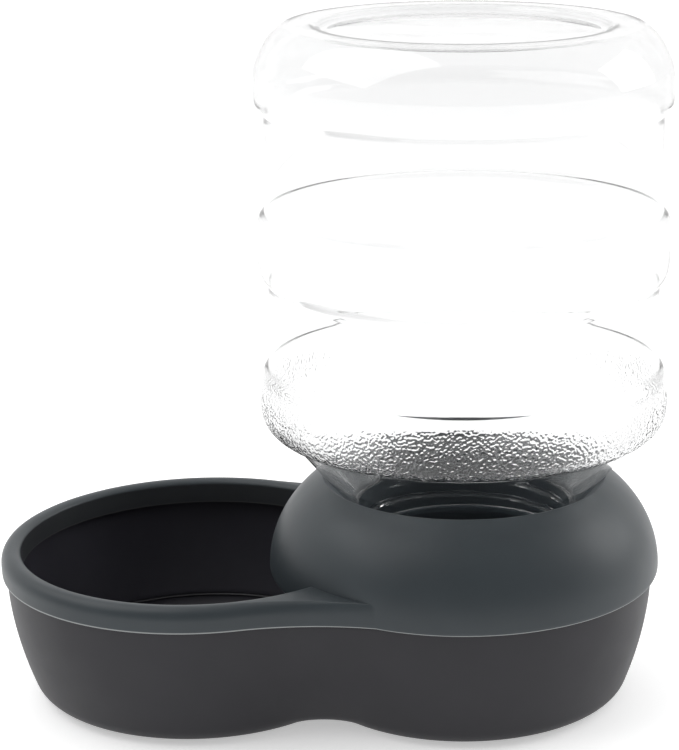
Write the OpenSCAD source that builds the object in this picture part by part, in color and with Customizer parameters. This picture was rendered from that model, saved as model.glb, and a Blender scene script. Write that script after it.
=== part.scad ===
// Gravity pet feeder: round food bowl and domed hopper housing on one figure-eight base,
// with a clear bottle of dry food standing mouth-down in the dome.
// Millimetres. Z is up, the ground is Z = 0, +X runs from the bowl to the bottle.

/* [Overall] */
// Distance between the bowl centre and the bottle axis
lobe_spacing = 125; // [110:150]
// Full height from the ground to the top of the bottle
total_height = 314.5; // [250:380]
// Height of the joint between pan and cover
seam_height = 60.4; // [45:75]
// Radius of the cover's lower edge around the dome
seam_radius = 90; // [80:108]
// How much wider the bowl's lobe is than the dome's, in radius
bowl_extra = 2; // [0:0.5:4]

/* [Pan] */
// Step in from the cover's lower edge to the pan's edge
seam_step = 2; // [1:0.1:3]
// How far the pan's side draws in from its edge to the rounded toe
toe_inset = 10.4; // [6:0.1:16]
// Height of the rounded toe
toe_height = 7.4; // [4:0.1:10]
// Power that shapes the flare of the pan's side
flare_power = 1.85; // [1.4:0.01:3]
// Radius of the inward curve of the waist at the cover's lower edge
waist_seam_radius = 128; // [90:150]
// Radius of the inward curve of the waist at the ground
waist_ground_radius = 12; // [10:40]
// Power that shapes the change from one to the other
waist_power = 2; // [1:0.1:3]
// Wall thickness of the pan
pan_wall = 2.5; // [2:0.1:4]
// Floor thickness of the pan
floor_thickness = 3.2; // [2.6:0.1:5]
// Radius of the inside edge between floor and wall
inner_fillet = 9; // [4:14]

/* [Feet] */
// Radius of each rubber foot pad
foot_radius = 9; // [6:12]
// How far the pads stand out below the pan
foot_out = 1; // [0.5:0.1:2]
// Depth of the recess that holds each pad
foot_recess = 1.6; // [1:0.1:2]
// Clearance around each pad in its recess
foot_gap = 0.1; // [0.05:0.05:0.3]
// Distance from each pad to the edge of the pan's flat bottom
foot_margin = 8; // [3:14]
// Angle between a lobe's own axis and its side pads
foot_angle = 78; // [60:90]

/* [Cover rim] */
// How far the rim bulges out past its lower edge
rim_bulge = 0.3; // [0.1:0.1:3]
// Height of the widest line of the rim above the seam
rim_widest = 5.3; // [4:0.1:8]
// Height of the rim's top above the seam
rim_rise = 11.4; // [10:0.1:16]
// Width of the rounding on the rim's outer top edge
rim_round = 5; // [3:0.1:6]
// Width of the level crown between the rim's outer and inner roundings
rim_crown = 0.4; // [0.2:0.1:2]
// How much the bowl opening widens from the seam to the rim's top
opening_draft = 0.2; // [0.1:0.1:1]
// Height of the rounding that leads from the rim's crown down into the bowl
opening_drop = 2.4; // [1:0.1:4]

/* [Dome] */
// How far the dome bulges out past its lower edge
dome_bulge = 1.15; // [0.5:0.05:3]
// Height of the dome's widest line above the seam
dome_widest = 2.5; // [2:0.1:8]
// Radius at which the dome's curve would level off
dome_crown_radius = 27.3; // [15:0.1:35]
// Rise of the dome's curve above its widest line
dome_rise = 53.7; // [45:0.1:65]
// Wall thickness of the dome
dome_wall = 2.5; // [2:0.1:4]
// Height of the bead that stiffens the dome's lower edge
bead_height = 2; // [1.5:0.1:4]

/* [Bottle seat] */
// Radial clearance between the bottle and the funnel it stands in
seat_gap = 0.9; // [0.5:0.1:2]
// Wall thickness of the funnel and collar
collar_wall = 2.4; // [2:0.1:4]
// Radial clearance between collar and the bottle neck's beads
collar_gap = 0.6; // [0.4:0.1:1.5]
// Inward width of the ledge the bottle's mouth stands on
ledge_width = 5.4; // [4:8]
// Thickness of the ledge
ledge_thickness = 2; // [1.5:0.1:4]

/* [Locating tabs] */
// Angle each tab covers around its lobe
tab_angle = 12; // [8:20]
// Thickness of each tab
tab_thickness = 1.6; // [1.2:0.1:2.4]
// Depth each tab reaches into the pan
tab_depth = 6; // [4:10]
// Clearance between a tab and the pan's wall
tab_gap = 0.5; // [0.3:0.1:1]
// How far the cover's lower edge reaches inward past each tab
tab_cover = 2.4; // [0.4:0.1:3]
// Angle between neighbouring tabs of one lobe
tab_pitch = 60; // [45:70]

/* [Bottle] */
// Largest radius of the bottle's three bulges
bulge_radius = 93.5; // [85:105]
// Radius of the upper waist
upper_waist_radius = 89.4; // [80:92]
// Radius of the lower waist
lower_waist_radius = 89; // [80:92]
// Wall thickness of the bottle
bottle_wall = 1.2; // [0.8:0.1:2]
// Outer radius of the neck
neck_radius = 51; // [45:56]
// Wall thickness of the neck
neck_wall = 1.8; // [1.4:0.1:3]
// Height of the mouth above the seam
mouth_rise = 11.6; // [8:0.1:20]
// How far the neck's beads stand out
bead_out = 1.4; // [0.8:0.1:2]
// Height of each of the neck's beads
bead_tall = 2.4; // [1.8:0.1:3]
// Distance from the mouth to the first bead
bead_first = 5; // [3:8]
// Distance from the first bead to the second
bead_pitch = 6; // [5:8]
// Radius of the funnel's wide end, at the stippled bulge
funnel_radius = 83; // [75:88]
// Height of the funnel's wide end above the seam
funnel_top = 68.6; // [60:0.1:80]
// Height gained per millimetre of radius along the funnel
funnel_slope = 1.2; // [0.9:0.05:1.6]
// Radius of the ring the bottle's closed end would stand on
crown_radius = 79; // [70:86]
// Radius of the recessed disc in the closed end
recess_radius = 63; // [50:70]
// Depth of that disc
recess_depth = 3.5; // [2:6]
// Power that shapes the shoulder at the closed end
shoulder_power = 1.5; // [1.2:0.1:2.5]
// Height of the shoulder
shoulder_height = 21.5; // [15:30]
// Height of the straight band of the top bulge
top_band = 13; // [8:20]
// Height of the sharp step below the top bulge
top_step = 4; // [2:6]
// Height of the upper waist
upper_waist = 45; // [35:55]
// Height of the curve above the middle bulge
middle_upper = 6; // [4:10]
// Height of the straight band of the middle bulge
middle_band = 14; // [8:20]
// Height of the curve below the middle bulge
middle_lower = 11; // [8:16]

/* [Lower bulge] */
// Height of the curve above the lower bulge
low_upper = 10; // [6:14]
// Height of the straight band of the lower bulge
low_band = 9; // [6:14]
// Height of the stippled curve below the lower bulge
low_lower = 12; // [9:16]

/* [Hidden] */
$fn = 96;
half = lobe_spacing / 2;
bowl_radius = seam_radius + bowl_extra;
rim_radius = bowl_radius + rim_bulge;
dome_radius = seam_radius + dome_bulge;
// the origin is under the middle of the whole length, between the rim's end and the bottle's
middle_x = (rim_radius - bulge_radius) / 2;
bowl_x = middle_x - half;
dome_x = middle_x + half;
eps = 0.5;
overrun = 10;

// outline segments around half of each lobe and along the waist
lobe_steps = 20;
waist_steps = 9;
half_steps = 2 * lobe_steps + waist_steps;
ring = 2 * half_steps;

// pan section
pan_edge = seam_radius - seam_step;
toe_radius = pan_edge - toe_inset;
pan_low = foot_out;
toe_z = pan_low + toe_height;
side_slope = flare_power * (pan_edge - toe_radius) / (seam_height - toe_z);
toe_turn = 90 - atan(side_slope);
toe_arc = toe_height / (1 - cos(toe_turn));
toe_foot = toe_radius - toe_arc * sin(toe_turn);
foot_circle = toe_foot - foot_margin - foot_radius;
toe_steps = 4;
side_steps = 8;
floor_z = pan_low + floor_thickness;

// cover section
rim_z = seam_height + rim_rise;
rim_mid_z = seam_height + rim_widest;
rim_low_steps = 5;
rim_top_steps = 4;
rim_flat_radius = rim_radius - rim_round;
edge_depth = seam_step + pan_wall + tab_gap + tab_thickness + tab_cover;
opening_seam_radius = bowl_radius - edge_depth;
opening_radius = opening_seam_radius + opening_draft;
opening_round = rim_flat_radius - rim_crown - opening_radius;
dome_mid_z = seam_height + dome_widest;
dome_reach = dome_radius - dome_crown_radius;
dome_steps = 22;
saddle_cut = dome_wall / 2;
saddle_bury = saddle_cut + 0.3;
pocket_radius = 5.5;
pocket_roof = 3;

// bottle heights, from the closed end down
shoulder_z = total_height - shoulder_height;
top_band_z = shoulder_z - top_band;
upper_top_z = top_band_z - top_step;
upper_low_z = upper_top_z - upper_waist;
middle_top_z = upper_low_z - middle_upper;
middle_low_z = middle_top_z - middle_band;
lower_top_z = middle_low_z - middle_lower;
funnel_z = seam_height + funnel_top;
low_bulge_z = funnel_z + low_lower;
low_bulge_top_z = low_bulge_z + low_band;
lower_low_z = low_bulge_top_z + low_upper;
mouth_z = seam_height + mouth_rise;
neck_z = funnel_z - (funnel_radius - neck_radius) * funnel_slope;
curve_steps = 6;
crown_round = 3;

// bottle seat, following the bottle's funnel
lip_radius = lip_from(dome_crown_radius);
seat_radius = neck_radius + bead_out + collar_gap;
seat_z = funnel_line(seat_radius - seat_gap);
collar_outer = seat_radius + collar_wall;
ledge_radius = seat_radius - ledge_width;

// straight line of the bottle's funnel: height at a radius
function funnel_line(r) = funnel_z - (funnel_radius - r) * funnel_slope;

// dome's outer curve above its widest line: height at a radius
function dome_line(r, wall) =
    dome_mid_z + (dome_rise - wall) * sqrt(1 - pow((r - dome_crown_radius) / (dome_reach - wall), 2));

// radius where the dome's curve meets the bottle's funnel with its clearance, by halving
function lip_from(a) = lip_search(a, dome_radius - dome_wall, 0);
function lip_search(a, b, n) =
    n > 30 ? (a + b) / 2 :
    funnel_line((a + b) / 2 - seat_gap) > dome_line((a + b) / 2, 0) ?
        lip_search(a, (a + b) / 2, n + 1) : lip_search((a + b) / 2, b, n + 1);

// dome's outer radius at a height up to the rim's top
function dome_at(z) =
    z < dome_mid_z ?
        seam_radius + (dome_radius - seam_radius) * sqrt(1 - pow((dome_mid_z - z) / dome_widest, 2)) :
        dome_crown_radius + dome_reach * sqrt(1 - pow((z - dome_mid_z) / dome_rise, 2));

// upper half of a figure-eight outline: bowl radius a, dome radius b, waist curve w, height z
function waist_x(a, b, w) = (a - b) * (a + b + 2 * w) / (4 * half);
function waist_y(a, b, w) = sqrt(pow(b + w, 2) - pow(waist_x(a, b, w) - half, 2));
function turn_b(a, b, w) = atan2(waist_y(a, b, w), waist_x(a, b, w) - half);
function turn_a(a, b, w) = atan2(waist_y(a, b, w), waist_x(a, b, w) + half);
function dome_side(b, t, i) = [dome_x + b * cos(t * i / lobe_steps), b * sin(t * i / lobe_steps)];
function bowl_side(a, t, i) = [bowl_x + a * cos(t + (180 - t) * i / lobe_steps),
                               a * sin(t + (180 - t) * i / lobe_steps)];
function waist_side(a, b, w, i) =
    let (t = turn_b(a, b, w) - 180 + (turn_a(a, b, w) - turn_b(a, b, w)) * i / waist_steps)
    [middle_x + waist_x(a, b, w) + w * cos(t), waist_y(a, b, w) + w * sin(t)];
function upper_point(a, b, w, i) =
    i <= lobe_steps ? dome_side(b, turn_b(a, b, w), i) :
    i < lobe_steps + waist_steps ? waist_side(a, b, w, i - lobe_steps) :
    bowl_side(a, turn_a(a, b, w), i - lobe_steps - waist_steps);
function outline_point(a, b, w, i) =
    i <= half_steps ? upper_point(a, b, w, i) :
    [upper_point(a, b, w, ring - i)[0], -upper_point(a, b, w, ring - i)[1]];
// one level is [bowl radius, dome radius, waist curve, height]
function level_points(l) = [for (i = [0 : ring - 1]) concat(outline_point(l[0], l[1], l[2], i), l[3])];

// closed solid through a list of levels
module outline_stack(levels) {
    last = (len(levels) - 1) * ring;
    pts = [for (l = levels) each level_points(l)];
    low_cap = [for (i = [1 : half_steps - 2]) [i, i + 1, ring - i - 1, ring - i]];
    top_cap = [for (i = [1 : half_steps - 2])
        [last + ring - i, last + ring - i - 1, last + i + 1, last + i]];
    ends = [[0, 1, ring - 1],
            [half_steps - 1, half_steps, half_steps + 1],
            [last + ring - 1, last + 1, last],
            [last + half_steps + 1, last + half_steps, last + half_steps - 1]];
    sides = [for (k = [0 : len(levels) - 2]) for (i = [0 : ring - 1])
        let (j = (i + 1) % ring, p = k * ring, q = p + ring)
        each [[p + i, q + i, q + j], [p + i, q + j, p + j]]];
    polyhedron(points = pts, faces = concat(low_cap, top_cap, ends, sides), convexity = 8);
}

// pan's outer radius at a height on its side
function side_at(z) =
    pan_edge - (pan_edge - toe_radius) * pow((seam_height - z) / (seam_height - toe_z), flare_power);
// waist curve that goes with a pan radius
function pan_waist(r) =
    waist_ground_radius + (waist_seam_radius + seam_step - waist_ground_radius)
        * pow(max(0, (r - toe_foot) / (pan_edge - toe_foot)), waist_power);
function pan_level(r, inset, z) = [r + bowl_extra - inset, r - inset, pan_waist(r) + inset, z];

pan_toe = [for (i = [0 : toe_steps - 1])
    let (t = toe_turn * i / toe_steps)
    pan_level(toe_foot + toe_arc * sin(t), 0, pan_low + toe_arc * (1 - cos(t)))];
pan_side = [for (i = [0 : side_steps])
    let (z = toe_z + (seam_height - toe_z) * i / side_steps)
    pan_level(side_at(z), 0, z)];
pan_inside = [for (i = [side_steps : -1 : 2])
    let (z = toe_z + (seam_height - toe_z) * i / side_steps)
    if (z > floor_z + inner_fillet + eps) pan_level(side_at(z), pan_wall, z)];
pan_floor = [for (i = [toe_steps : -1 : 0])
    let (t = 90 * i / toe_steps, z = floor_z + inner_fillet * (1 - sin(90 - t)))
    pan_level(side_at(floor_z + inner_fillet), pan_wall + inner_fillet * (1 - sin(t)), z)];

// rim levels: outer edge, widest line, rounded top
function rim_level(r, z) = [r, dome_at(z) - saddle_bury, waist_seam_radius + bowl_radius - r, z];
rim_low = [for (i = [0 : rim_low_steps])
    let (t = 90 * i / rim_low_steps, z = rim_mid_z - rim_widest * cos(t),
         r = bowl_radius + rim_bulge * sin(t))
    rim_level(r, z)];
rim_high = [for (i = [1 : rim_top_steps])
    let (t = 90 * i / rim_top_steps, z = rim_mid_z + (rim_rise - rim_widest) * sin(t),
         r = rim_flat_radius + rim_round * cos(t))
    rim_level(r, z)];

// cutter for the bowl opening
opening_curve = [for (i = [0 : curve_steps])
    let (t = 90 * i / curve_steps)
    [opening_radius + opening_round * (1 - cos(t)), rim_z - opening_drop * (1 - sin(t))]];
opening_section = concat(
    [[0, seam_height - overrun],
     [opening_seam_radius, seam_height - overrun],
     [opening_seam_radius, seam_height]],
    opening_curve,
    [[opening_radius + opening_round, rim_z + overrun], [0, rim_z + overrun]]);

// middle line of the dome's wall, used to trim the saddle between rim and dome
trim_section = concat(
    [[0, seam_height - overrun], [dome_at(seam_height) - saddle_cut, seam_height - overrun]],
    [for (i = [0 : curve_steps])
        let (z = seam_height + (rim_z - seam_height) * i / curve_steps)
        [dome_at(z) - saddle_cut, z]],
    [[dome_at(rim_z) - saddle_cut, rim_z + overrun], [0, rim_z + overrun]]);

// dome, funnel, collar and ledge as one section
dome_outer = [for (i = [0 : dome_steps])
    let (t = i / dome_steps, r = lip_radius + (dome_radius - lip_radius) * cos(90 * t))
    [r, dome_line(r, 0)]];
dome_low_outer = [for (i = [0 : curve_steps - 1])
    let (z = seam_height + dome_widest * (1 - cos(90 * i / curve_steps)))
    [dome_at(z), z]];
dome_inner = [for (i = [1 : dome_steps])
    let (t = i / dome_steps,
         r = lip_radius + eps + (dome_radius - dome_wall - lip_radius - eps) * sin(90 * t))
    [r, dome_line(r, dome_wall)]];
dome_section = concat(
    [[seam_radius - edge_depth, seam_height]],
    dome_low_outer,
    dome_outer,
    [[seat_radius, seat_z],
     [seat_radius, mouth_z],
     [ledge_radius, mouth_z],
     [ledge_radius, mouth_z - ledge_thickness],
     [collar_outer, mouth_z - ledge_thickness],
     [collar_outer, funnel_line(collar_outer - seat_gap) - collar_wall * sqrt(1 + pow(funnel_slope, 2))]],
    dome_inner,
    [[seam_radius - edge_depth, seam_height + bead_height]]);

// quarter curve between a crease (at height cz, radius cr) and a bulge (at height bz, radius br)
function swell(cr, cz, br, bz, n) = [for (i = [0 : n])
    let (t = 90 * i / n)
    [cr + (br - cr) * sin(t), bz + (cz - bz) * cos(t)]];
function reversed(v) = [for (i = [len(v) - 1 : -1 : 0]) v[i]];

// bottle wall from the mouth up to the closed end, moved in by t
function bottle_line(t) = concat(
    [[funnel_radius - t, funnel_z + t / 2]],
    swell(funnel_radius - t, funnel_z + t, bulge_radius - t, low_bulge_z, curve_steps),
    reversed(swell(lower_waist_radius - t, lower_low_z - t, bulge_radius - t, low_bulge_top_z,
                   curve_steps)),
    swell(lower_waist_radius - t, lower_top_z + t, bulge_radius - t, middle_low_z, curve_steps),
    reversed(swell(upper_waist_radius - t, upper_low_z - t, bulge_radius - t, middle_top_z,
                   curve_steps)),
    [[upper_waist_radius - t, upper_top_z + t]],
    [[bulge_radius - t, top_band_z + t / 2]],
    [for (i = [0 : curve_steps + 2])
        let (u = 1 - pow(1 - i / (curve_steps + 2), 2),
             reach = pow(1 - pow(u, shoulder_power), 1 / shoulder_power))
        [crown_radius + (bulge_radius - crown_radius - t) * reach,
         shoulder_z + (shoulder_height - t) * u]]);

function neck_bead(z) = [
    [neck_radius, z],
    [neck_radius + bead_out, z + bead_tall / 3],
    [neck_radius + bead_out, z + bead_tall * 2 / 3],
    [neck_radius, z + bead_tall]];

bottle_section = concat(
    [[neck_radius - neck_wall, mouth_z], [neck_radius, mouth_z]],
    neck_bead(mouth_z + bead_first),
    neck_bead(mouth_z + bead_first + bead_pitch),
    [[neck_radius, neck_z]],
    bottle_line(0),
    [[recess_radius + crown_round, total_height],
     [recess_radius, total_height - recess_depth],
     [0, total_height - recess_depth],
     [0, total_height - recess_depth - bottle_wall],
     [recess_radius + bottle_wall / 2, total_height - recess_depth - bottle_wall],
     [recess_radius + crown_round + bottle_wall / 2, total_height - bottle_wall]],
    reversed(bottle_line(bottle_wall)),
    [[neck_radius - neck_wall, neck_z + bottle_wall / 2]]);

module at_bowl() { translate([bowl_x, 0, 0]) children(); }
module at_dome() { translate([dome_x, 0, 0]) children(); }

// places one item at a foot's position
module at_foot(side, angle) {
    translate([middle_x + side * (half + foot_circle * cos(angle)), foot_circle * sin(angle), 0])
        children();
}

module foot_hole(side, angle) {
    at_foot(side, angle)
        translate([0, 0, pan_low - overrun])
            cylinder(r = foot_radius + foot_gap, h = overrun + foot_recess);
}

module foot_pad(side, angle) {
    color([0.1, 0.1, 0.1])
        at_foot(side, angle)
            cylinder(r = foot_radius, h = foot_out + foot_recess);
}

// shallow food tray with two round lobes
module base_pan() {
    color([0.23, 0.22, 0.25])
        difference() {
            outline_stack(concat(pan_toe, pan_side, pan_inside, pan_floor));
            foot_hole(-1, foot_angle);
            foot_hole(-1, 0);
            foot_hole(-1, -foot_angle);
            foot_hole(1, foot_angle);
            foot_hole(1, 0);
            foot_hole(1, -foot_angle);
        }
}

module foot_bowl_front() { foot_pad(-1, -foot_angle); }
module foot_bowl_left() { foot_pad(-1, 0); }
module foot_bowl_rear() { foot_pad(-1, foot_angle); }
module foot_dome_front() { foot_pad(1, -foot_angle); }
module foot_dome_right() { foot_pad(1, 0); }
module foot_dome_rear() { foot_pad(1, foot_angle); }

// tab that drops inside the pan's edge on a lobe of that radius and keeps the cover in place
module locating_tab(radius, angle) {
    tab_outer = radius - seam_step - pan_wall - tab_gap;
    rotate([0, 0, angle - tab_angle / 2])
        rotate_extrude(angle = tab_angle)
            translate([tab_outer - tab_thickness, seam_height - tab_depth])
                square([tab_thickness, tab_depth + 1]);
}

module relief_pocket(side) {
    waist = waist_y(bowl_radius, seam_radius, waist_seam_radius) - waist_seam_radius;
    translate([middle_x, side * (waist - pocket_radius - 2 * dome_wall), seam_height - overrun])
        cylinder(r = pocket_radius, h = overrun + rim_rise - pocket_roof);
}

// one moulding: bowl rim, saddle, dome and bottle seat
module top_cover() {
    color([0.31, 0.34, 0.35])
        union() {
            difference() {
                outline_stack(concat(rim_low, rim_high));
                at_bowl() rotate_extrude() polygon(opening_section);
                at_dome() rotate_extrude() polygon(trim_section);
                relief_pocket(1);
                relief_pocket(-1);
            }
            at_dome() rotate_extrude() polygon(dome_section);
            at_bowl() for (a = [-1 : 1]) locating_tab(bowl_radius, 180 + a * tab_pitch);
            at_dome() for (a = [-1 : 1]) locating_tab(seam_radius, a * tab_pitch);
        }
}

// clear bottle, standing on its mouth
module hopper_bottle() {
    color([0.9, 0.93, 0.95, 0.3])
        at_dome() rotate_extrude() polygon(bottle_section);
}

base_pan();
foot_bowl_front();
foot_bowl_left();
foot_bowl_rear();
foot_dome_front();
foot_dome_right();
foot_dome_rear();
top_cover();
hopper_bottle();
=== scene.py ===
import math

import bmesh
import bpy
import numpy as np
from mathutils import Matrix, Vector, noise


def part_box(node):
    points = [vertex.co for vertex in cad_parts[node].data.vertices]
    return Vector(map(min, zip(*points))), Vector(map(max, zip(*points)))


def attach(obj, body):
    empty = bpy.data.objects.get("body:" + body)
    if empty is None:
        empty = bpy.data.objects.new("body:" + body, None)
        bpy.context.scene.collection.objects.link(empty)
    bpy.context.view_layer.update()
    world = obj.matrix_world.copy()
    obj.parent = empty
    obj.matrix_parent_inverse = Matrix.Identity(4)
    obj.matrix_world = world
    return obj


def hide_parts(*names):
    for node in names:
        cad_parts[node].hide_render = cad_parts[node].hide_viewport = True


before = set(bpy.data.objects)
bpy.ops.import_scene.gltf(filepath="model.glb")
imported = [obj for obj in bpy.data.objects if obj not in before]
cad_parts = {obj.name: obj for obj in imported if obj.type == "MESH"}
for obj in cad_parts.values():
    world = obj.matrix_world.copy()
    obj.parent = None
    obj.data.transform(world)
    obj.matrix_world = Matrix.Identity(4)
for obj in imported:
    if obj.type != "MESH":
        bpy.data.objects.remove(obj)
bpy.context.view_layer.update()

# ---------------------------------------------------------------- sizes
# Everything is in metres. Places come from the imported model.
MM = 0.001
PAN_LOW, PAN_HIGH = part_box("base_pan")
COVER_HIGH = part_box("top_cover")[1]
BOTTLE_LOW, BOTTLE_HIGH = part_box("hopper_bottle")
BOTTLE_X = (BOTTLE_LOW[0] + BOTTLE_HIGH[0]) / 2
LOBE_SPACING = 125 * MM
BOWL_X = BOTTLE_X - LOBE_SPACING
MIDDLE_X = (BOWL_X + BOTTLE_X) / 2
HALF = LOBE_SPACING / 2
BOWL_EXTRA = 2 * MM
SEAM_Z = PAN_HIGH[2]
PAN_Z = PAN_LOW[2]
RIM_RADIUS = COVER_HIGH[1]
BULGE_RADIUS = BOTTLE_HIGH[1]
TOP_Z = BOTTLE_HIGH[2]
MOUTH_Z = BOTTLE_LOW[2]
PAN_EDGE = PAN_HIGH[1] - BOWL_EXTRA

# pan
SEAM_STEP = 2 * MM
SEAM_RADIUS = PAN_EDGE + SEAM_STEP
BOWL_RADIUS = SEAM_RADIUS + BOWL_EXTRA
TOE_RADIUS = PAN_EDGE - 10.4 * MM
TOE_HEIGHT = 7.4 * MM
FLARE_POWER = 1.85
WAIST_SEAM = 128 * MM
WAIST_GROUND = 12 * MM
WAIST_POWER = 2
PAN_WALL = 2.5 * MM
FLOOR_THICK = 3.2 * MM
INNER_FILLET = 9 * MM
TOP_EDGE = 0.35 * MM
TOE_STEPS = 12
SIDE_STEPS = 40
FILLET_STEPS = 14
PAN_CREASE = 40
# small ridge where wall and fillet meet: how far in from the wall and down from the fillet's top
RIDGE = [(0, 0), (0.05 * MM, 0.9 * MM), (0.5 * MM, 1.15 * MM),
         (0.65 * MM, 1.4 * MM), (0.6 * MM, 1.7 * MM), (0.25 * MM, 2.0 * MM)]
RIDGE_TURN = 0.26

# cover
RIM_WIDEST = 5.3 * MM
RIM_RISE = 11.4 * MM
RIM_ROUND = 5 * MM
RIM_CROWN = 0.4 * MM
EDGE_DEPTH = 9 * MM
OPENING_SEAM = BOWL_RADIUS - EDGE_DEPTH
OPENING_RADIUS = OPENING_SEAM + 0.2 * MM
OPENING_ROUND = RIM_RADIUS - RIM_ROUND - RIM_CROWN - OPENING_RADIUS
OPENING_DROP = 2.4 * MM
DOME_RADIUS = SEAM_RADIUS + 1.15 * MM
DOME_WIDEST = 2.5 * MM
DOME_CROWN = 27.3 * MM
DOME_RISE = 53.7 * MM
DOME_WALL = 2.5 * MM
LIP_ROUND = 1.0 * MM
EDGE_ROUND = 0.5 * MM
BEAD_HEIGHT = 2 * MM
SADDLE_INSET = 1.5 * MM
CUT_OVERRUN = 10 * MM
# how high up the dome's edge in the bowl the painted highlight reaches
PALE_EDGE = 0.5 * MM
# share of the opening's rounding that keeps the outside's colour above the inside's painted shade, and
# how near counts as on a face
DARK_SHARE = 0.8
BOWL_NEAR = 0.2 * MM
DOME_NEAR = 0.3 * MM
DOME_INSIDE = 1.2 * MM
TURN_STEPS = 360
RIM_LOW_STEPS = 16
RIM_TOP_STEPS = 14
DOME_STEPS = 70
DOME_INNER_STEPS = 50
CURVE_STEPS = 12
TRIM_STEPS = 16
HALVINGS = 30
COVER_CREASE = 32
# nose of the lip: its centre and the inner wall's start as shares of its radius, and its turn in degrees
NOSE_IN = 0.9
WALL_START = 0.8
NOSE_START = 75
NOSE_END = 150
NOSE_STEPS = 6
FIRST_TURN = 0.12

# bottle
FUNNEL_SLOPE = 1.2
FUNNEL_RADIUS = 83 * MM
FUNNEL_Z = SEAM_Z + 68.6 * MM
NECK_RADIUS = 51 * MM
NECK_Z = FUNNEL_Z - (FUNNEL_RADIUS - NECK_RADIUS) * FUNNEL_SLOPE
SEAT_GAP = 0.9 * MM
SEAT_RADIUS = 53 * MM
COLLAR_RADIUS = 55.4 * MM
LEDGE_RADIUS = 47.6 * MM
LEDGE_THICK = 2 * MM
SEAT_CHAMFER = 1.2 * MM
SEAT_DROP = 1.5 * MM
SEAT_UNDER = 5.2 * MM
PET_WALL = 0.5 * MM


# ---------------------------------------------------------------- mesh helpers
def new_object(name, verts, faces):
    """A mesh object from vertex and face lists."""
    mesh = bpy.data.meshes.new(name)
    mesh.from_pydata([tuple(v) for v in verts], [], [tuple(f) for f in faces])
    mesh.validate()
    obj = bpy.data.objects.new(name, mesh)
    bpy.context.scene.collection.objects.link(obj)
    return obj


def smooth_by_angle(obj, degrees):
    """Smooth shading, with edges sharper than the angle left crisp."""
    bm = bmesh.new()
    bm.from_mesh(obj.data)
    bmesh.ops.recalc_face_normals(bm, faces=bm.faces)
    limit = math.radians(degrees)
    for face in bm.faces:
        face.smooth = True
    for edge in bm.edges:
        edge.smooth = len(edge.link_faces) == 2 and edge.calc_face_angle() < limit
    bm.to_mesh(obj.data)
    bm.free()


def ring_grid(rings, closed):
    """Quads between rings of equal length. A closed stack joins its last ring to its first."""
    n = len(rings[0])
    verts = np.concatenate(rings)
    faces = []
    for k in range(len(rings) - (0 if closed else 1)):
        p, q = k * n, ((k + 1) % len(rings)) * n
        faces += [(p + i, p + (i + 1) % n, q + (i + 1) % n, q + i) for i in range(n)]
    return verts, faces


def revolved_rings(section, x, steps):
    """Rings of points for a section of (radius, height) turned about a vertical axis at x."""
    t = np.arange(steps) * 2 * math.pi / steps
    return [np.stack([x + r * np.cos(t), r * np.sin(t), np.full(steps, z)], axis=1) for r, z in section]


def revolve_ring(name, section, x, steps):
    """A closed section that doesn't touch its axis, turned about it."""
    verts, faces = ring_grid(revolved_rings(section, x, steps), closed=True)
    return new_object(name, verts, faces)


def revolve_solid(name, section, x, steps):
    """A solid whose section starts and ends on the axis."""
    rings = revolved_rings(section[1:-1], x, steps)
    verts, faces = ring_grid(rings, closed=False)
    low, high = len(verts), len(verts) + 1
    verts = np.concatenate([verts, [[x, 0, section[0][1]], [x, 0, section[-1][1]]]])
    last = low - steps
    faces += [(low, (i + 1) % steps, i) for i in range(steps)]
    faces += [(high, last + i, last + (i + 1) % steps) for i in range(steps)]
    return new_object(name, verts, faces)


def boolean(obj, other, operation):
    """Joins or cuts obj with other, which is used up."""
    mod = obj.modifiers.new("cut", "BOOLEAN")
    mod.operation = operation
    mod.solver = "EXACT"
    mod.object = other
    bpy.context.view_layer.update()
    result = bpy.data.meshes.new_from_object(obj.evaluated_get(bpy.context.evaluated_depsgraph_get()))
    obj.modifiers.clear()
    obj.data = result
    bpy.data.objects.remove(other)


def arc(x, z, rx, rz, start, end, steps):
    """Points of an elliptical arc, angles in degrees from +radius towards +height."""
    t = np.radians(np.linspace(start, end, steps + 1))
    return [(x + rx * math.cos(a), z + rz * math.sin(a)) for a in t]


# ---------------------------------------------------------------- figure-eight outline
LOBE_STEPS = 120
WAIST_STEPS = 60
RING_POINTS = 2 * (2 * LOBE_STEPS + WAIST_STEPS)


def outline(a, b, w):
    """The figure-eight outline: bowl radius a, dome radius b, and waist curve w, as a closed ring."""
    cx = (a - b) * (a + b + 2 * w) / (4 * HALF)
    cy = math.sqrt((b + w) ** 2 - (cx - HALF) ** 2)
    turn_a = math.atan2(cy, cx + HALF)
    turn_b = math.atan2(cy, cx - HALF)
    t = np.linspace(0, turn_b, LOBE_STEPS, endpoint=False)
    dome = np.stack([BOTTLE_X + b * np.cos(t), b * np.sin(t)], axis=1)
    t = np.linspace(turn_b - math.pi, turn_a - math.pi, WAIST_STEPS, endpoint=False)
    waist = np.stack([MIDDLE_X + cx + w * np.cos(t), cy + w * np.sin(t)], axis=1)
    t = np.linspace(turn_a, math.pi, LOBE_STEPS + 1)
    bowl = np.stack([BOWL_X + a * np.cos(t), a * np.sin(t)], axis=1)
    upper = np.concatenate([dome, waist, bowl])
    lower = upper[-2:0:-1] * (1, -1)
    return np.concatenate([upper, lower])


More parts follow.
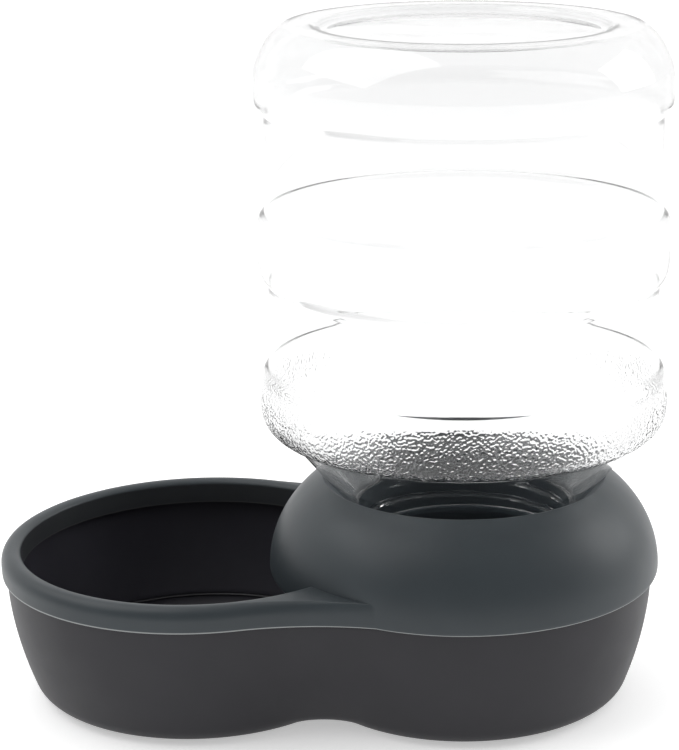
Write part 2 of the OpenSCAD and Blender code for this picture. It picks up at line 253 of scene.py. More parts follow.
def outline_stack(name, levels):
    """A closed solid through levels of (bowl radius, dome radius, waist curve, height)."""
    n = RING_POINTS
    rings = [np.column_stack([outline(a, b, w), np.full(n, z)]) for a, b, w, z in levels]
    verts, faces = ring_grid(rings, closed=False)
    half = n // 2
    for base in (0, len(verts) - n):
        cap = [(base + i, base + i + 1, base + n - i - 1, base + n - i) for i in range(1, half - 1)]
        cap += [(base, base + 1, base + n - 1), (base + half - 1, base + half, base + half + 1)]
        faces += cap if base else [tuple(reversed(f)) for f in cap]
    return new_object(name, verts, faces)


# ---------------------------------------------------------------- base pan
def side_at(z):
    """The pan's outer radius at a height."""
    share = (SEAM_Z - z) / (SEAM_Z - PAN_Z - TOE_HEIGHT)
    return PAN_EDGE - (PAN_EDGE - TOE_RADIUS) * max(share, 0) ** FLARE_POWER


def pan_level(r, inset, z):
    """One level of the pan, set in from radius r."""
    share = max(0, (r - TOE_FOOT) / (PAN_EDGE - TOE_FOOT)) ** WAIST_POWER
    w = WAIST_GROUND + (WAIST_SEAM + SEAM_RADIUS - PAN_EDGE - WAIST_GROUND) * share
    return (r + BOWL_EXTRA - inset, r - inset, w + inset, z)


TOE_TURN = math.pi / 2 - math.atan(
    FLARE_POWER * (PAN_EDGE - TOE_RADIUS) / (SEAM_Z - PAN_Z - TOE_HEIGHT))
TOE_ARC = TOE_HEIGHT / (1 - math.cos(TOE_TURN))
TOE_FOOT = TOE_RADIUS - TOE_ARC * math.sin(TOE_TURN)


def pan_mesh():
    """The tray: rounded toe, flared side, rolled top edge, and the inside."""
    floor_z = PAN_Z + FLOOR_THICK
    toe = [pan_level(TOE_FOOT + TOE_ARC * math.sin(t), 0, PAN_Z + TOE_ARC * (1 - math.cos(t)))
           for t in np.linspace(0, TOE_TURN, TOE_STEPS, endpoint=False)]
    heights = np.linspace(PAN_Z + TOE_HEIGHT, SEAM_Z - TOP_EDGE, SIDE_STEPS)
    side = [pan_level(side_at(z), 0, z) for z in heights]
    corner = 0.3 * TOP_EDGE
    top = [pan_level(PAN_EDGE, inset, z) for inset, z in (
        (corner, SEAM_Z - corner), (TOP_EDGE, SEAM_Z),
        (PAN_WALL - TOP_EDGE, SEAM_Z), (PAN_WALL - corner, SEAM_Z - corner))]
    low = floor_z + INNER_FILLET
    inside = [pan_level(side_at(z), PAN_WALL, z) for z in reversed(heights) if z > low + MM]
    ridge = [pan_level(side_at(low), PAN_WALL + inset, low - drop) for inset, drop in RIDGE]
    floor = [pan_level(side_at(low), PAN_WALL + INNER_FILLET * (1 - math.cos(t)),
                       low - INNER_FILLET * math.sin(t))
             for t in np.linspace(RIDGE_TURN, math.pi / 2, FILLET_STEPS)]
    pan = outline_stack("pan", toe + side + top + inside + ridge + floor)
    smooth_by_angle(pan, PAN_CREASE)
    first = len(toe + side + top) - 1
    ridge_first = first + len(inside)
    # the inside takes the lighter inside colour, which is painted light; the ridge keeps the tray's
    # outside colour
    for k, face in enumerate(pan.data.polygons):
        level = k // RING_POINTS
        on_ridge = ridge_first < level < ridge_first + len(ridge)
        face.material_index = 1 if level >= first and not on_ridge else 0
    return pan


# ---------------------------------------------------------------- cover
def dome_at(z):
    """The dome's outer radius at a height."""
    mid = SEAM_Z + DOME_WIDEST
    if z < mid:
        share = max(0.0, 1 - ((mid - z) / DOME_WIDEST) ** 2)
        return SEAM_RADIUS + (DOME_RADIUS - SEAM_RADIUS) * math.sqrt(share)
    return DOME_CROWN + (DOME_RADIUS - DOME_CROWN) * math.sqrt(1 - ((z - mid) / DOME_RISE) ** 2)


def dome_line(r, wall):
    """Height of the dome's curve at a radius, wall below its outside."""
    share = (r - DOME_CROWN) / (DOME_RADIUS - DOME_CROWN - wall)
    return SEAM_Z + DOME_WIDEST + (DOME_RISE - wall) * math.sqrt(max(0.0, 1 - share * share))


def funnel_line(r):
    """Height of the bottle's funnel at a radius."""
    return FUNNEL_Z - (FUNNEL_RADIUS - r) * FUNNEL_SLOPE


def lip_radius():
    """Radius where the dome's curve meets the funnel with its clearance."""
    low, high = DOME_CROWN, DOME_RADIUS - DOME_WALL
    for _ in range(HALVINGS):
        mid = (low + high) / 2
        if funnel_line(mid - SEAT_GAP) > dome_line(mid, 0):
            high = mid
        else:
            low = mid
    return (low + high) / 2


def rim_section():
    """Levels of the rim and saddle, from the seam up."""
    rows = []
    low = np.linspace(0, math.pi / 2, RIM_LOW_STEPS)
    high = np.linspace(0, math.pi / 2, RIM_TOP_STEPS)[1:]
    for t in low:
        rows.append((BOWL_RADIUS + (RIM_RADIUS - BOWL_RADIUS) * math.sin(t),
                     SEAM_Z + RIM_WIDEST * (1 - math.cos(t))))
    for t in high:
        rows.append((RIM_RADIUS - RIM_ROUND * (1 - math.cos(t)),
                     SEAM_Z + RIM_WIDEST + (RIM_RISE - RIM_WIDEST) * math.sin(t)))
    return [(r, dome_at(z) - SADDLE_INSET, WAIST_SEAM + BOWL_RADIUS - r, z) for r, z in rows]


def dome_section():
    """Closed section of dome, funnel, collar and ledge."""
    lip = lip_radius()
    seat_z = funnel_line(SEAT_RADIUS - SEAT_GAP)
    heights = [SEAM_Z + DOME_WIDEST * (1 - math.cos(t))
               for t in np.linspace(FIRST_TURN, math.pi / 2, CURVE_STEPS, endpoint=False)]
    low = [(dome_at(z), z) for z in heights]
    turn = np.cos(np.linspace(0, math.pi / 2, DOME_STEPS))
    outer = [(r, dome_line(r, 0)) for r in lip + LIP_ROUND + (DOME_RADIUS - lip - LIP_ROUND) * turn]
    nose = arc(lip + LIP_ROUND * NOSE_IN, outer[-1][1] - LIP_ROUND, LIP_ROUND, LIP_ROUND,
               NOSE_START, NOSE_END, NOSE_STEPS)
    funnel = [(SEAT_RADIUS + SEAT_CHAMFER, seat_z + SEAT_CHAMFER * FUNNEL_SLOPE),
              (SEAT_RADIUS, seat_z - SEAT_DROP)]
    collar = [(SEAT_RADIUS, MOUTH_Z), (LEDGE_RADIUS, MOUTH_Z), (LEDGE_RADIUS, MOUTH_Z - LEDGE_THICK),
              (COLLAR_RADIUS, MOUTH_Z - LEDGE_THICK)]
    under = [(COLLAR_RADIUS, funnel_line(COLLAR_RADIUS) - SEAT_UNDER)]
    start = lip + WALL_START * LIP_ROUND
    turn = np.sin(np.linspace(0, math.pi / 2, DOME_INNER_STEPS))
    inner = [(r, dome_line(r, DOME_WALL)) for r in start + (DOME_RADIUS - DOME_WALL - start) * turn]
    inside = SEAM_RADIUS - EDGE_DEPTH
    bead = [(inside, SEAM_Z + BEAD_HEIGHT), (inside, SEAM_Z + EDGE_ROUND),
            (inside + EDGE_ROUND, SEAM_Z), (SEAM_RADIUS - EDGE_ROUND, SEAM_Z)]
    return low + outer + nose + funnel + collar + under + inner + bead


def opening_section():
    """Cutter for the bowl's opening, rounded at its top edge."""
    top = SEAM_Z + RIM_RISE
    edge = [(OPENING_RADIUS + OPENING_ROUND * (1 - math.cos(t)), top - OPENING_DROP * (1 - math.sin(t)))
            for t in np.linspace(0, math.pi / 2, CURVE_STEPS)]
    wide = OPENING_RADIUS + OPENING_ROUND
    low = SEAM_Z - CUT_OVERRUN
    high = top + CUT_OVERRUN
    return [(0, low), (OPENING_SEAM, low), (OPENING_SEAM, SEAM_Z)] + edge + [(wide, high), (0, high)]


def trim_section():
    """Middle of the dome's wall, which the saddle runs into."""
    heights = np.linspace(SEAM_Z, SEAM_Z + RIM_RISE, TRIM_STEPS)
    rows = [(dome_at(z) - DOME_WALL / 2, z) for z in heights]
    low = SEAM_Z - CUT_OVERRUN
    high = heights[-1] + CUT_OVERRUN
    return [(0, low), (rows[0][0], low)] + rows + [(rows[-1][0], high), (0, high)]


def cover_side(x, y, z):
    """The material at a place on the cover: 0 outside, 1 inside with painted shade, 2 the dome's edge in
    the bowl with a painted highlight.
    """
    if z >= SEAM_Z + RIM_RISE - DARK_SHARE * OPENING_DROP:
        return 0
    past_dome = math.hypot(x - BOTTLE_X, y) - dome_at(max(z, SEAM_Z))
    on_dome = abs(past_dome) < DOME_NEAR
    in_bowl = math.hypot(x - BOWL_X, y) < OPENING_RADIUS + BOWL_NEAR
    if in_bowl and on_dome and z < SEAM_Z + PALE_EDGE:
        return 2
    if in_bowl and not on_dome or past_dome < -DOME_INSIDE:
        return 1
    return 0


def cover_mesh():
    """Rim, saddle, dome and bottle seat as one moulding."""
    cover = outline_stack("cover", rim_section())
    boolean(cover, revolve_solid("opening", opening_section(), BOWL_X, TURN_STEPS), "DIFFERENCE")
    boolean(cover, revolve_solid("trim", trim_section(), BOTTLE_X, TURN_STEPS), "DIFFERENCE")
    boolean(cover, revolve_ring("dome", dome_section(), BOTTLE_X, TURN_STEPS), "UNION")
    smooth_by_angle(cover, COVER_CREASE)
    # faces inside the bowl and the dome take the painted-shade colour, and the dome's edge in the bowl a
    # painted highlight
    for face in cover.data.polygons:
        face.material_index = cover_side(*face.center)
    return cover


# ---------------------------------------------------------------- bottle
STIPPLE_SPLIT = 6
BOTTLE_STEPS = 288
BOTTLE_CREASE = 50
MOUTH_STEPS = 6
BLUR_REACH = 3
CREASE_BLUR = 1.3 * MM
AXIS_GAP = 0.02 * MM
NECK_WALL = 1.6 * MM
UPPER_WAIST = 89.4 * MM
LOWER_WAIST = 89 * MM
CROWN_RADIUS = 79 * MM
RECESS_RADIUS = 63 * MM
RECESS_DEPTH = 3.5 * MM
RECESS_ROUND = 3 * MM
FUNNEL_OUT = 0.6 * MM
FUNNEL_UP = 0.2 * MM
MOUTH_ROUND = 0.4 * MM
NECK_STEP = 0.6 * MM
NECK_BLUR = 0.5 * MM
BODY_STEP = 0.8 * MM
BULGE_STEPS = 10
LOW_BULGE_STEPS = 16
SHOULDER_STEPS = 20
SHOULDER_POWER = 1.5
SHOULDER_Z = TOP_Z - 21.5 * MM
TOP_BAND_Z = SHOULDER_Z - 13 * MM
UPPER_TOP_Z = TOP_BAND_Z - 4 * MM
UPPER_LOW_Z = UPPER_TOP_Z - 45 * MM
MIDDLE_TOP_Z = UPPER_LOW_Z - 6 * MM
MIDDLE_LOW_Z = MIDDLE_TOP_Z - 14 * MM
LOWER_TOP_Z = MIDDLE_LOW_Z - 11 * MM
LOW_BULGE_Z = FUNNEL_Z + 12 * MM
LOW_BULGE_TOP_Z = LOW_BULGE_Z + 9 * MM
LOWER_LOW_Z = LOW_BULGE_TOP_Z + 10 * MM


def swell(crease_r, crease_z, bulge_r, bulge_z, steps):
    """Quarter curve from a crease out to a bulge."""
    return [(crease_r + (bulge_r - crease_r) * math.sin(t), bulge_z + (crease_z - bulge_z) * math.cos(t))
            for t in np.linspace(0, math.pi / 2, steps)]


def bottle_side():
    """The bottle's line from the funnel's wide end to the shoulder."""
    line = [(FUNNEL_RADIUS, FUNNEL_Z)]
    line += swell(FUNNEL_RADIUS + FUNNEL_OUT, FUNNEL_Z + FUNNEL_UP, BULGE_RADIUS, LOW_BULGE_Z,
                  LOW_BULGE_STEPS)
    line += swell(LOWER_WAIST, LOWER_LOW_Z, BULGE_RADIUS, LOW_BULGE_TOP_Z, BULGE_STEPS)[::-1]
    line += swell(LOWER_WAIST, LOWER_TOP_Z, BULGE_RADIUS, MIDDLE_LOW_Z, BULGE_STEPS)
    line += swell(UPPER_WAIST, UPPER_LOW_Z, BULGE_RADIUS, MIDDLE_TOP_Z, BULGE_STEPS)[::-1]
    line += [(UPPER_WAIST, UPPER_TOP_Z), (BULGE_RADIUS, TOP_BAND_Z)]
    for u in 1 - (1 - np.linspace(0, 1, SHOULDER_STEPS)) ** 2:
        reach = (1 - u ** SHOULDER_POWER) ** (1 / SHOULDER_POWER)
        line.append((CROWN_RADIUS + (BULGE_RADIUS - CROWN_RADIUS) * reach,
                     SHOULDER_Z + (TOP_Z - SHOULDER_Z) * u))
    return line


def closed_end():
    """The standing ring and recessed disc, from the ring's outside to the axis."""
    return [(RECESS_RADIUS + RECESS_ROUND, TOP_Z), (RECESS_RADIUS, TOP_Z - RECESS_DEPTH),
            (0, TOP_Z - RECESS_DEPTH)]


def soft_line(points, step, blur):
    """The line resampled at even steps, with its corners eased over a length of blur."""
    points = np.array(points)
    length = np.concatenate([[0], np.cumsum(np.hypot(*np.diff(points, axis=0).T))])
    even = np.linspace(0, length[-1], max(2, round(length[-1] / step)) + 1)
    line = np.stack([np.interp(even, length, points[:, i]) for i in (0, 1)], axis=1)
    reach = math.ceil(BLUR_REACH * blur / step)
    weights = np.exp(-0.5 * (np.arange(-reach, reach + 1) * step / blur) ** 2)
    weights /= weights.sum()
    before = 2 * line[0] - line[reach:0:-1]
    after = 2 * line[-1] - line[-2:-reach - 2:-1]
    padded = np.concatenate([before, line, after])
    return np.stack([np.convolve(padded[:, i], weights, "valid") for i in (0, 1)], axis=1)


def parallel_line(line, wall):
    """The line moved in by the wall, square to itself."""
    along = np.gradient(line, axis=0)
    normal = np.stack([-along[:, 1], along[:, 0]], axis=1)
    return line + normal / np.linalg.norm(normal, axis=1)[:, None] * wall


THREAD_PITCH = 8 * MM
THREAD_OUT = 1.3 * MM
THREAD_HALF = 1.3 * MM
THREAD_START = MOUTH_Z + 4 * MM
THREAD_TURNS = 1.4
THREAD_FADE = 0.08
STIPPLE_LOW = FUNNEL_Z + 0.4 * MM
STIPPLE_HIGH = LOW_BULGE_TOP_Z + 5 * MM
STIPPLE_CELL = 1.05 * MM
STIPPLE_DEPTH = 0.15 * MM
STIPPLE_ROW = 0.35 * MM
STIPPLE_FADE_LOW = 0.8 * MM
STIPPLE_FADE_HIGH = 9 * MM
# a second, finer pebble field: how much finer, how strong and how far shifted
STIPPLE_FINER = 2.1
STIPPLE_FINE_SHARE = 0.5
STIPPLE_SHIFT = (7, 3, 1)
STIPPLE_STEEP = 3


def thread_rise(angle, z):
    """How far the neck's screw thread stands out at a place on the neck."""
    best = 0.0
    for lap in (0, 1):
        along = angle / (2 * math.pi) + lap
        if along <= THREAD_TURNS:
            ends = min(1, along / THREAD_FADE, (THREAD_TURNS - along) / THREAD_FADE)
            off = (z - THREAD_START - THREAD_PITCH * along) / THREAD_HALF
            best = max(best, ends * max(0, 1 - off * off))
    return THREAD_OUT * best


def stipple(x, y, z):
    """Depth of the pebbled texture at a place on the lower bulge."""
    fade = min(1, (z - STIPPLE_LOW) / STIPPLE_FADE_LOW, (STIPPLE_HIGH - z) / STIPPLE_FADE_HIGH)
    if fade <= 0:
        return 0.0
    p = Vector((x, y, z)) / STIPPLE_CELL
    fine = noise.noise(p * STIPPLE_FINER + Vector(STIPPLE_SHIFT))
    cells = noise.noise(p) + STIPPLE_FINE_SHARE * fine
    return STIPPLE_DEPTH * fade * (math.tanh(STIPPLE_STEEP * cells) - 1)


def bottle_mesh():
    """The clear bottle as a thin closed shell, mouth down, with its thread and pebbled band."""
    mouth_z = MOUTH_Z + MOUTH_ROUND
    neck_inside = NECK_RADIUS - NECK_WALL
    neck = soft_line([(NECK_RADIUS, mouth_z), (NECK_RADIUS, NECK_Z)], NECK_STEP, NECK_BLUR)
    body = soft_line([(NECK_RADIUS, NECK_Z)] + bottle_side() + closed_end(), BODY_STEP, CREASE_BLUR)
    outer = np.concatenate([neck[:-1], body])
    inner = parallel_line(body[::2], PET_WALL)[1:]
    inner = inner[inner[:, 0] > AXIS_GAP][::-1]
    neck_in = [(neck_inside, NECK_Z + NECK_STEP), (neck_inside, mouth_z)]
    mouth = arc(NECK_RADIUS - NECK_WALL / 2, mouth_z, NECK_WALL / 2, MOUTH_ROUND,
                start=180, end=360, steps=MOUTH_STEPS)
    outer = outer[outer[:, 0] > AXIS_GAP]
    pebbled = np.nonzero((outer[:, 1] >= FUNNEL_Z + FUNNEL_UP) & (outer[:, 1] <= STIPPLE_HIGH))[0]
    first, last = pebbled[0], pebbled[-1]
    band = soft_line(outer[first:last + 1], STIPPLE_ROW, STIPPLE_ROW)
    inner_end = [(AXIS_GAP, inner[0][1])]
    outer_end = [(AXIS_GAP, outer[-1][1])]
    sections = [(inner_end + list(inner) + neck_in, BOTTLE_STEPS, None),
                (mouth + list(outer[1:first]), BOTTLE_STEPS, "thread"),
                (list(band), BOTTLE_STEPS * STIPPLE_SPLIT, "pebbles"),
                (list(outer[last + 1:]) + outer_end, BOTTLE_STEPS, None)]
    return build_bottle(sections)


def build_bottle(sections):
    """Turns the bottle's lines about its axis, with a finer mesh where the texture is."""
    verts, starts = [], []
    for section, steps, detail in sections:
        turn = np.arange(steps) * 2 * math.pi / steps
        for r, z in section:
            starts.append((len(verts), steps))
            rise = np.zeros(steps)
            if detail == "pebbles":
                rise = np.array([stipple(r * math.cos(a), r * math.sin(a), z) for a in turn])
            elif detail == "thread" and MOUTH_Z + MM < z < NECK_Z:
                rise = np.array([thread_rise(a, z) for a in turn])
            x, y = BOTTLE_X + (r + rise) * np.cos(turn), (r + rise) * np.sin(turn)
            verts += list(zip(x, y, [z] * steps))
    faces = []
    for (p, n), (q, m) in zip(starts, starts[1:]):
        if n == m:
            faces += [(p + i, p + (i + 1) % n, q + (i + 1) % n, q + i) for i in range(n)]
        else:
            faces += split_rows(p, n, q, m)
    for start, n in (starts[0], starts[-1]):
        faces.append(tuple(range(start, start + n)))
    bottle = new_object("bottle", verts, faces)
    smooth_by_angle(bottle, BOTTLE_CREASE)
    return bottle


def split_rows(p, n, q, m):
    """Triangles between a ring of n points and one of a multiple of n, either way round."""
    if n > m:
        return [tuple(reversed(f)) for f in split_rows(q, m, p, n)]
    k = m // n
    faces = []
    for i in range(n):
        j = (i + 1) % n
        mid = q + i * k + k // 2
        faces.append((p + i, p + j, mid))
        for s in range(k):
            near = p + i if s < k // 2 else p + j
            faces.append((near, q + (i * k + s + 1) % m, q + i * k + s))
    return faces


# ---------------------------------------------------------------- feet
GROOVE = 0.3 * MM
GROOVE_SHARES = (0.66, 0.36)
FOOT_EDGE = 0.35 * MM
FOOT_HOLE = 0.05 * MM
FOOT_STEPS = 64
FOOT_EDGE_STEPS = 4
FOOT_CREASE = 35


def foot_mesh(node):
    """A round rubber pad with a soft edge and two grooves in its face."""
    low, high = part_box(node)
    x, y = (low[0] + high[0]) / 2, (low[1] + high[1]) / 2
    r = (high[0] - low[0]) / 2
    section = [(FOOT_HOLE, high[2]), (r, high[2]), (r, low[2] + FOOT_EDGE)]
    section += arc(r - FOOT_EDGE, low[2] + FOOT_EDGE, FOOT_EDGE, FOOT_EDGE,
                   start=0, end=-90, steps=FOOT_EDGE_STEPS)[1:]
    for centre in (share * r for share in GROOVE_SHARES):
        section += [(centre + 2 * GROOVE, low[2]), (centre + GROOVE, low[2] + GROOVE),
                    (centre - GROOVE, low[2] + GROOVE), (centre - 2 * GROOVE, low[2])]
    section += [(FOOT_HOLE, low[2])]
    pad = revolve_ring(node + "_pad", section, 0, FOOT_STEPS)
    for v in pad.data.vertices:
        v.co += Vector((x, y, 0))
    smooth_by_angle(pad, FOOT_CREASE)
    return pad


# ---------------------------------------------------------------- materials
# Linear colours: the dark and light ends of each mottling, then the trimmed edges and the shadow tint.
COVER_COLOURS = (0.024, 0.031, 0.036), (0.031, 0.040, 0.046)
# the cover's inside, darker than its outside: painted shade
COVER_INSIDE_PAINTED_SHADE_COLOURS = (0.0215, 0.0235, 0.0260), (0.0290, 0.0315, 0.0350)
# the dome's pale lower edge in the bowl: a painted highlight
DOME_EDGE_PAINTED_HIGHLIGHT_COLOURS = (0.50, 0.52, 0.53), (0.60, 0.62, 0.63)
PAN_COLOURS = (0.0110, 0.0105, 0.0140), (0.0150, 0.0145, 0.0190)
# the tray's inside, lighter than its outside: painted light for its shaded inside
PAN_INSIDE_PAINTED_LIGHT_COLOURS = (0.0220, 0.0210, 0.0280), (0.0300, 0.0290, 0.0380)
RUBBER_COLOURS = (0.012, 0.012, 0.012), (0.03, 0.03, 0.03)
PET_COLOURS = (0.885, 0.886, 0.887), (0.897, 0.898, 0.899)
FLOOR_COLOURS = (0.90, 0.90, 0.90), (0.92, 0.92, 0.92)
# pale bands along the seam, outside and inside: painted highlights
SEAM_PAINTED_HIGHLIGHT_COLOUR = (0.26, 0.275, 0.275)
INSIDE_SEAM_PAINTED_HIGHLIGHT_COLOUR = (0.05, 0.052, 0.052)
PET_SHADOW_COLOUR = (0.97, 0.975, 0.98, 1)
PLASTIC_SPECULAR = 0.4
GLOSS_SPREAD = 0.06
PET_IOR = 1.45
# sockets of the colour Mix node, whose names repeat
MIX_A, MIX_B, MIX_RESULT = 6, 7, 2


def new_material(name):
    """A node material with one Principled shader."""
    mat = bpy.data.materials.new(name)
    mat.use_nodes = True
    nodes = mat.node_tree.nodes
    nodes.clear()
    shader = nodes.new("ShaderNodeBsdfPrincipled")
    out = nodes.new("ShaderNodeOutputMaterial")
    mat.node_tree.links.new(shader.outputs["BSDF"], out.inputs["Surface"])
    return mat, shader, out


def add(mat, kind, **inputs):
    """A node with some of its inputs set."""
    node = mat.node_tree.nodes.new(kind)
    for key, value in inputs.items():
        node.inputs[key.replace("_", " ")].default_value = value
    return node


def link(mat, a, b):
    """Joins output a to input b."""
    mat.node_tree.links.new(a, b)


def noise_field(mat, scale, detail=3.0, rough=0.5):
    """Noise over the object's own coordinates, in metres."""
    coords = mat.node_tree.nodes.new("ShaderNodeTexCoord")
    tex = add(mat, "ShaderNodeTexNoise", Scale=scale, Detail=detail, Roughness=rough)
    link(mat, coords.outputs["Object"], tex.inputs["Vector"])
    return tex.outputs["Fac"]


def ramp(mat, value, low, high):
    """value 0..1 mapped to a number or colour range."""
    node = mat.node_tree.nodes.new("ShaderNodeMapRange")
    node.inputs["To Min"].default_value = low
    node.inputs["To Max"].default_value = high
    link(mat, value, node.inputs["Value"])
    return node.outputs["Result"]


def mix_colour(mat, factor, a, b):
    """Colour a at factor 0 and b at 1."""
    node = mat.node_tree.nodes.new("ShaderNodeMix")
    node.data_type = "RGBA"
    for socket, colour in ((node.inputs[MIX_A], a), (node.inputs[MIX_B], b)):
        if isinstance(colour, tuple):
            socket.default_value = (*colour, 1)
        else:
            link(mat, colour, socket)
    link(mat, factor, node.inputs[0])
    return node.outputs[MIX_RESULT]


def height_band(mat, low, high):
    """0 below the height low, 1 above the height high."""
    coords = mat.node_tree.nodes.new("ShaderNodeTexCoord")
    split = mat.node_tree.nodes.new("ShaderNodeSeparateXYZ")
    node = mat.node_tree.nodes.new("ShaderNodeMapRange")
    node.inputs["From Min"].default_value = low
    node.inputs["From Max"].default_value = high
    link(mat, coords.outputs["Object"], split.inputs[0])
    link(mat, split.outputs["Z"], node.inputs["Value"])
    return node.outputs["Result"]


def moulded_plastic(name, dark, light, rough, grain):
    """Satin moulded plastic: mottled colour, uneven gloss and a fine spark-eroded grain."""
    mat, shader, _ = new_material(name)
    broad = noise_field(mat, scale=22, detail=3)
    colour = mix_colour(mat, ramp(mat, broad, low=-0.3, high=1.3), dark, light)
    link(mat, colour, shader.inputs["Base Color"])
    shader.inputs["Specular IOR Level"].default_value = PLASTIC_SPECULAR
    gloss = noise_field(mat, scale=60, detail=4)
    link(mat, ramp(mat, gloss, rough - GLOSS_SPREAD, rough + GLOSS_SPREAD), shader.inputs["Roughness"])
    bump = add(mat, "ShaderNodeBump", Strength=0.35, Distance=grain)
    link(mat, noise_field(mat, scale=1600, detail=2), bump.inputs["Height"])
    link(mat, bump.outputs["Normal"], shader.inputs["Normal"])
    return mat, shader, colour

# Linear colours: the dark and light ends of each mottling, then the painted highlights along the seam
# and the shadow tint.

def cover_material():
    """Dark blue-green grey, with a painted highlight as a pale band along the seam."""
    mat, shader, colour = moulded_plastic(
        "cover_plastic_look", *COVER_COLOURS, rough=0.42, grain=0.00004)
    # a pale band just above the seam: painted highlight
    edge = height_band(mat, SEAM_Z + 0.45 * MM, SEAM_Z + 0.75 * MM)
    link(mat, mix_colour(mat, edge, SEAM_PAINTED_HIGHLIGHT_COLOUR, colour), shader.inputs["Base Color"])
    return mat


def pan_material():
    """Very dark purplish grey."""
    return moulded_plastic(
        "pan_plastic_look", *PAN_COLOURS, rough=0.5, grain=0.00004)[0]


def pan_inside_painted_light_material():
    """The tray's polished inside, a lighter copy of the tray's colour: painted light that sets how
    bright its shaded inside reads, so it looks nearly black.
    """
    return moulded_plastic(
        "pan_inside_painted_light_look", *PAN_INSIDE_PAINTED_LIGHT_COLOURS, rough=0.45, grain=0.00003)[0]


def cover_inside_painted_shade_material():
    """The cover's inside, darker than its outside as painted shade, with a painted highlight as a paler
    band along the seam.
    """
    mat, shader, colour = moulded_plastic(
        "cover_inside_painted_shade_look", *COVER_INSIDE_PAINTED_SHADE_COLOURS, rough=0.45, grain=0.00003)
    # a paler band just above the seam: painted highlight
    edge = height_band(mat, SEAM_Z + 0.3 * MM, SEAM_Z + 0.6 * MM)
    link(mat, mix_colour(mat, edge, INSIDE_SEAM_PAINTED_HIGHLIGHT_COLOUR, colour), shader.inputs["Base Color"])
    return mat


def dome_edge_painted_highlight_material():
    """A painted highlight: the dome's pale lower edge, where it shows inside the bowl."""
    return moulded_plastic(
        "dome_edge_painted_highlight_look", *DOME_EDGE_PAINTED_HIGHLIGHT_COLOURS, rough=0.42, grain=0.00003)[0]


def rubber_material():
    """Matt black rubber with a dusty bloom."""
    mat, shader, _ = new_material("foot_rubber_look")
    colour = mix_colour(mat, noise_field(mat, scale=400, detail=5), *RUBBER_COLOURS)
    link(mat, colour, shader.inputs["Base Color"])
    gloss = noise_field(mat, scale=250, detail=3)
    link(mat, ramp(mat, gloss, low=0.7, high=0.9), shader.inputs["Roughness"])
    bump = add(mat, "ShaderNodeBump", Strength=0.4, Distance=0.00005)
    link(mat, noise_field(mat, scale=2500, detail=2), bump.inputs["Height"])
    link(mat, bump.outputs["Normal"], shader.inputs["Normal"])
    return mat


def clear_material():
    """Clear PET with a faint grey cast and slight waviness, which lets lamp light through."""
    mat, shader, out = new_material("clear_bottle_look")
    shader.inputs["Transmission Weight"].default_value = 1.0
    shader.inputs["IOR"].default_value = PET_IOR
    tint = mix_colour(mat, noise_field(mat, scale=14, detail=2), *PET_COLOURS)
    link(mat, tint, shader.inputs["Base Color"])
    gloss = noise_field(mat, scale=30, detail=2)
    link(mat, ramp(mat, gloss, low=0.0, high=0.03), shader.inputs["Roughness"])
    bump = add(mat, "ShaderNodeBump", Strength=0.15, Distance=0.0004)
    link(mat, noise_field(mat, scale=35, detail=2), bump.inputs["Height"])
    link(mat, bump.outputs["Normal"], shader.inputs["Normal"])
    path = mat.node_tree.nodes.new("ShaderNodeLightPath")
    open_air = mat.node_tree.nodes.new("ShaderNodeBsdfTransparent")
    open_air.inputs["Color"].default_value = PET_SHADOW_COLOUR
    mix = mat.node_tree.nodes.new("ShaderNodeMixShader")
    link(mat, path.outputs["Is Shadow Ray"], mix.inputs[0])
    link(mat, shader.outputs["BSDF"], mix.inputs[1])
    link(mat, open_air.outputs["BSDF"], mix.inputs[2])
    link(mat, mix.outputs["Shader"], out.inputs["Surface"])
    return mat


def dress(obj, mats, slot, body, *nodes):
    """Gives a piece its materials and body, in place of CAD nodes; slot is not used."""
    places = [face.material_index for face in obj.data.polygons]
    obj.data.materials.clear()
    for mat in mats:
        obj.data.materials.append(mat)
    obj.data.polygons.foreach_set("material_index", places)
    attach(obj, body)
    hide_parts(*nodes)


# ---------------------------------------------------------------- stage
def stage():
    """A wide pale floor, soft lamps and the white surroundings."""
    size = 9.0
    floor = new_object("floor", [(-size, -size, 0), (size, -size, 0), (size, size, 0), (-size, size, 0)],
                       [(0, 1, 2, 3)])
    mat, shader, _ = new_material("pale_floor")
    colour = mix_colour(mat, noise_field(mat, scale=3, detail=2), *FLOOR_COLOURS)
    link(mat, colour, shader.inputs["Base Color"])
    shader.inputs["Roughness"].default_value = 0.9
    shader.inputs["Specular IOR Level"].default_value = 0.1
    shader.inputs["Emission Color"].default_value = (1, 1, 1, 1)
    shader.inputs["Emission Strength"].default_value = 0.42
    floor.data.materials.append(mat)
    lamp("key", place=(-1.0, -0.2, 1.6), size=1.6, power=12)
    lamp("side", place=(1.3, 0.4, 0.7), size=0.8, power=5)
    bpy.context.scene.world = surround()
    bpy.context.scene.view_settings.view_transform = "Standard"


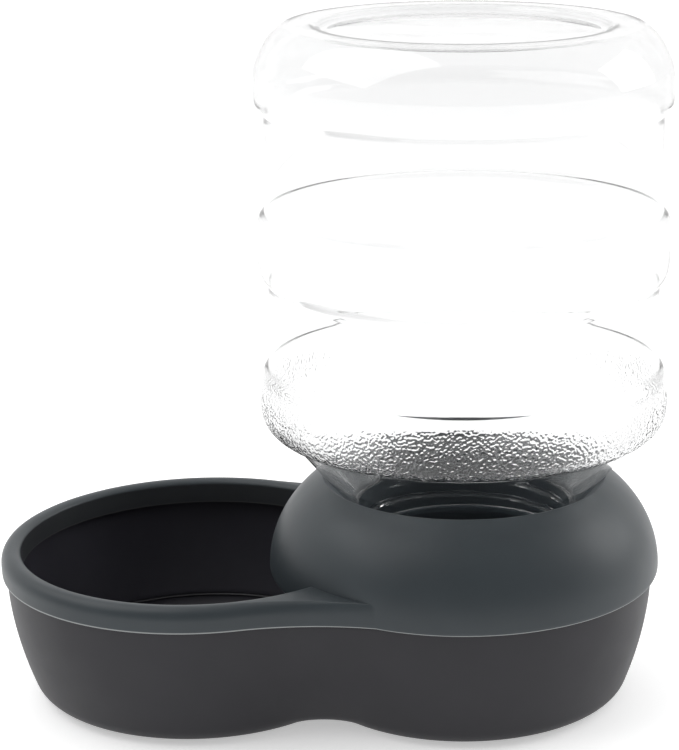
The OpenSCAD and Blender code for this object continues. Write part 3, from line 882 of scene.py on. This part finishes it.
def surround():
    """White surroundings, brighter behind the object than in front of it."""
    world = bpy.data.worlds.new("studio")
    world.use_nodes = True
    tree = world.node_tree
    coords = tree.nodes.new("ShaderNodeTexCoord")
    split = tree.nodes.new("ShaderNodeSeparateXYZ")
    strength = tree.nodes.new("ShaderNodeMapRange")
    strength.inputs["From Min"].default_value = -0.7
    strength.inputs["From Max"].default_value = 0.4
    strength.inputs["To Min"].default_value = 0.35
    strength.inputs["To Max"].default_value = 1.10
    tree.links.new(coords.outputs["Generated"], split.inputs[0])
    tree.links.new(split.outputs["Y"], strength.inputs["Value"])
    background = tree.nodes["Background"]
    background.inputs["Color"].default_value = (1, 1, 1, 1)
    tree.links.new(strength.outputs["Result"], background.inputs["Strength"])
    return world


def lamp(name, place, size, power):
    """A square soft light aimed at the middle of the object."""
    data = bpy.data.lights.new(name, "AREA")
    data.size = size
    data.energy = power
    obj = bpy.data.objects.new(name, data)
    obj.location = place
    aim = Vector((0, 0, TOP_Z / 2)) - Vector(place)
    obj.rotation_euler = aim.to_track_quat("-Z", "Y").to_euler()
    bpy.context.scene.collection.objects.link(obj)


def camera():
    """A metre in front of the bottle and a touch to its right, looking down a little."""
    data = bpy.data.cameras.new("camera")
    data.sensor_width = 36
    data.lens = 111.0
    data.shift_x = -0.166
    data.shift_y = 0.027
    data.clip_start = 0.05
    data.clip_end = 50
    cam = bpy.data.objects.new("camera", data)
    reach = 1.0222
    height = 0.4491
    turn = math.radians(2.1)
    level, look_down = 90, 16.67
    cam.location = (BOTTLE_X + reach * math.sin(turn), -reach * math.cos(turn), height)
    cam.rotation_euler = (math.radians(level - look_down), 0, turn)
    bpy.context.scene.collection.objects.link(cam)
    bpy.context.scene.camera = cam


# ---------------------------------------------------------------- assembly
camera()
stage()
dress(pan_mesh(), [pan_material(), pan_inside_painted_light_material()], "pan_plastic", "base", "base_pan")
dress(cover_mesh(), [cover_material(), cover_inside_painted_shade_material(), dome_edge_painted_highlight_material()],
      "cover_plastic", "cover", "top_cover")
dress(bottle_mesh(), [clear_material()], "clear_bottle", "bottle", "hopper_bottle")
rubber = [rubber_material()]
for node in sorted(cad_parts):
    if node.startswith("foot_"):
        dress(foot_mesh(node), rubber, "foot_rubber", "base", node)
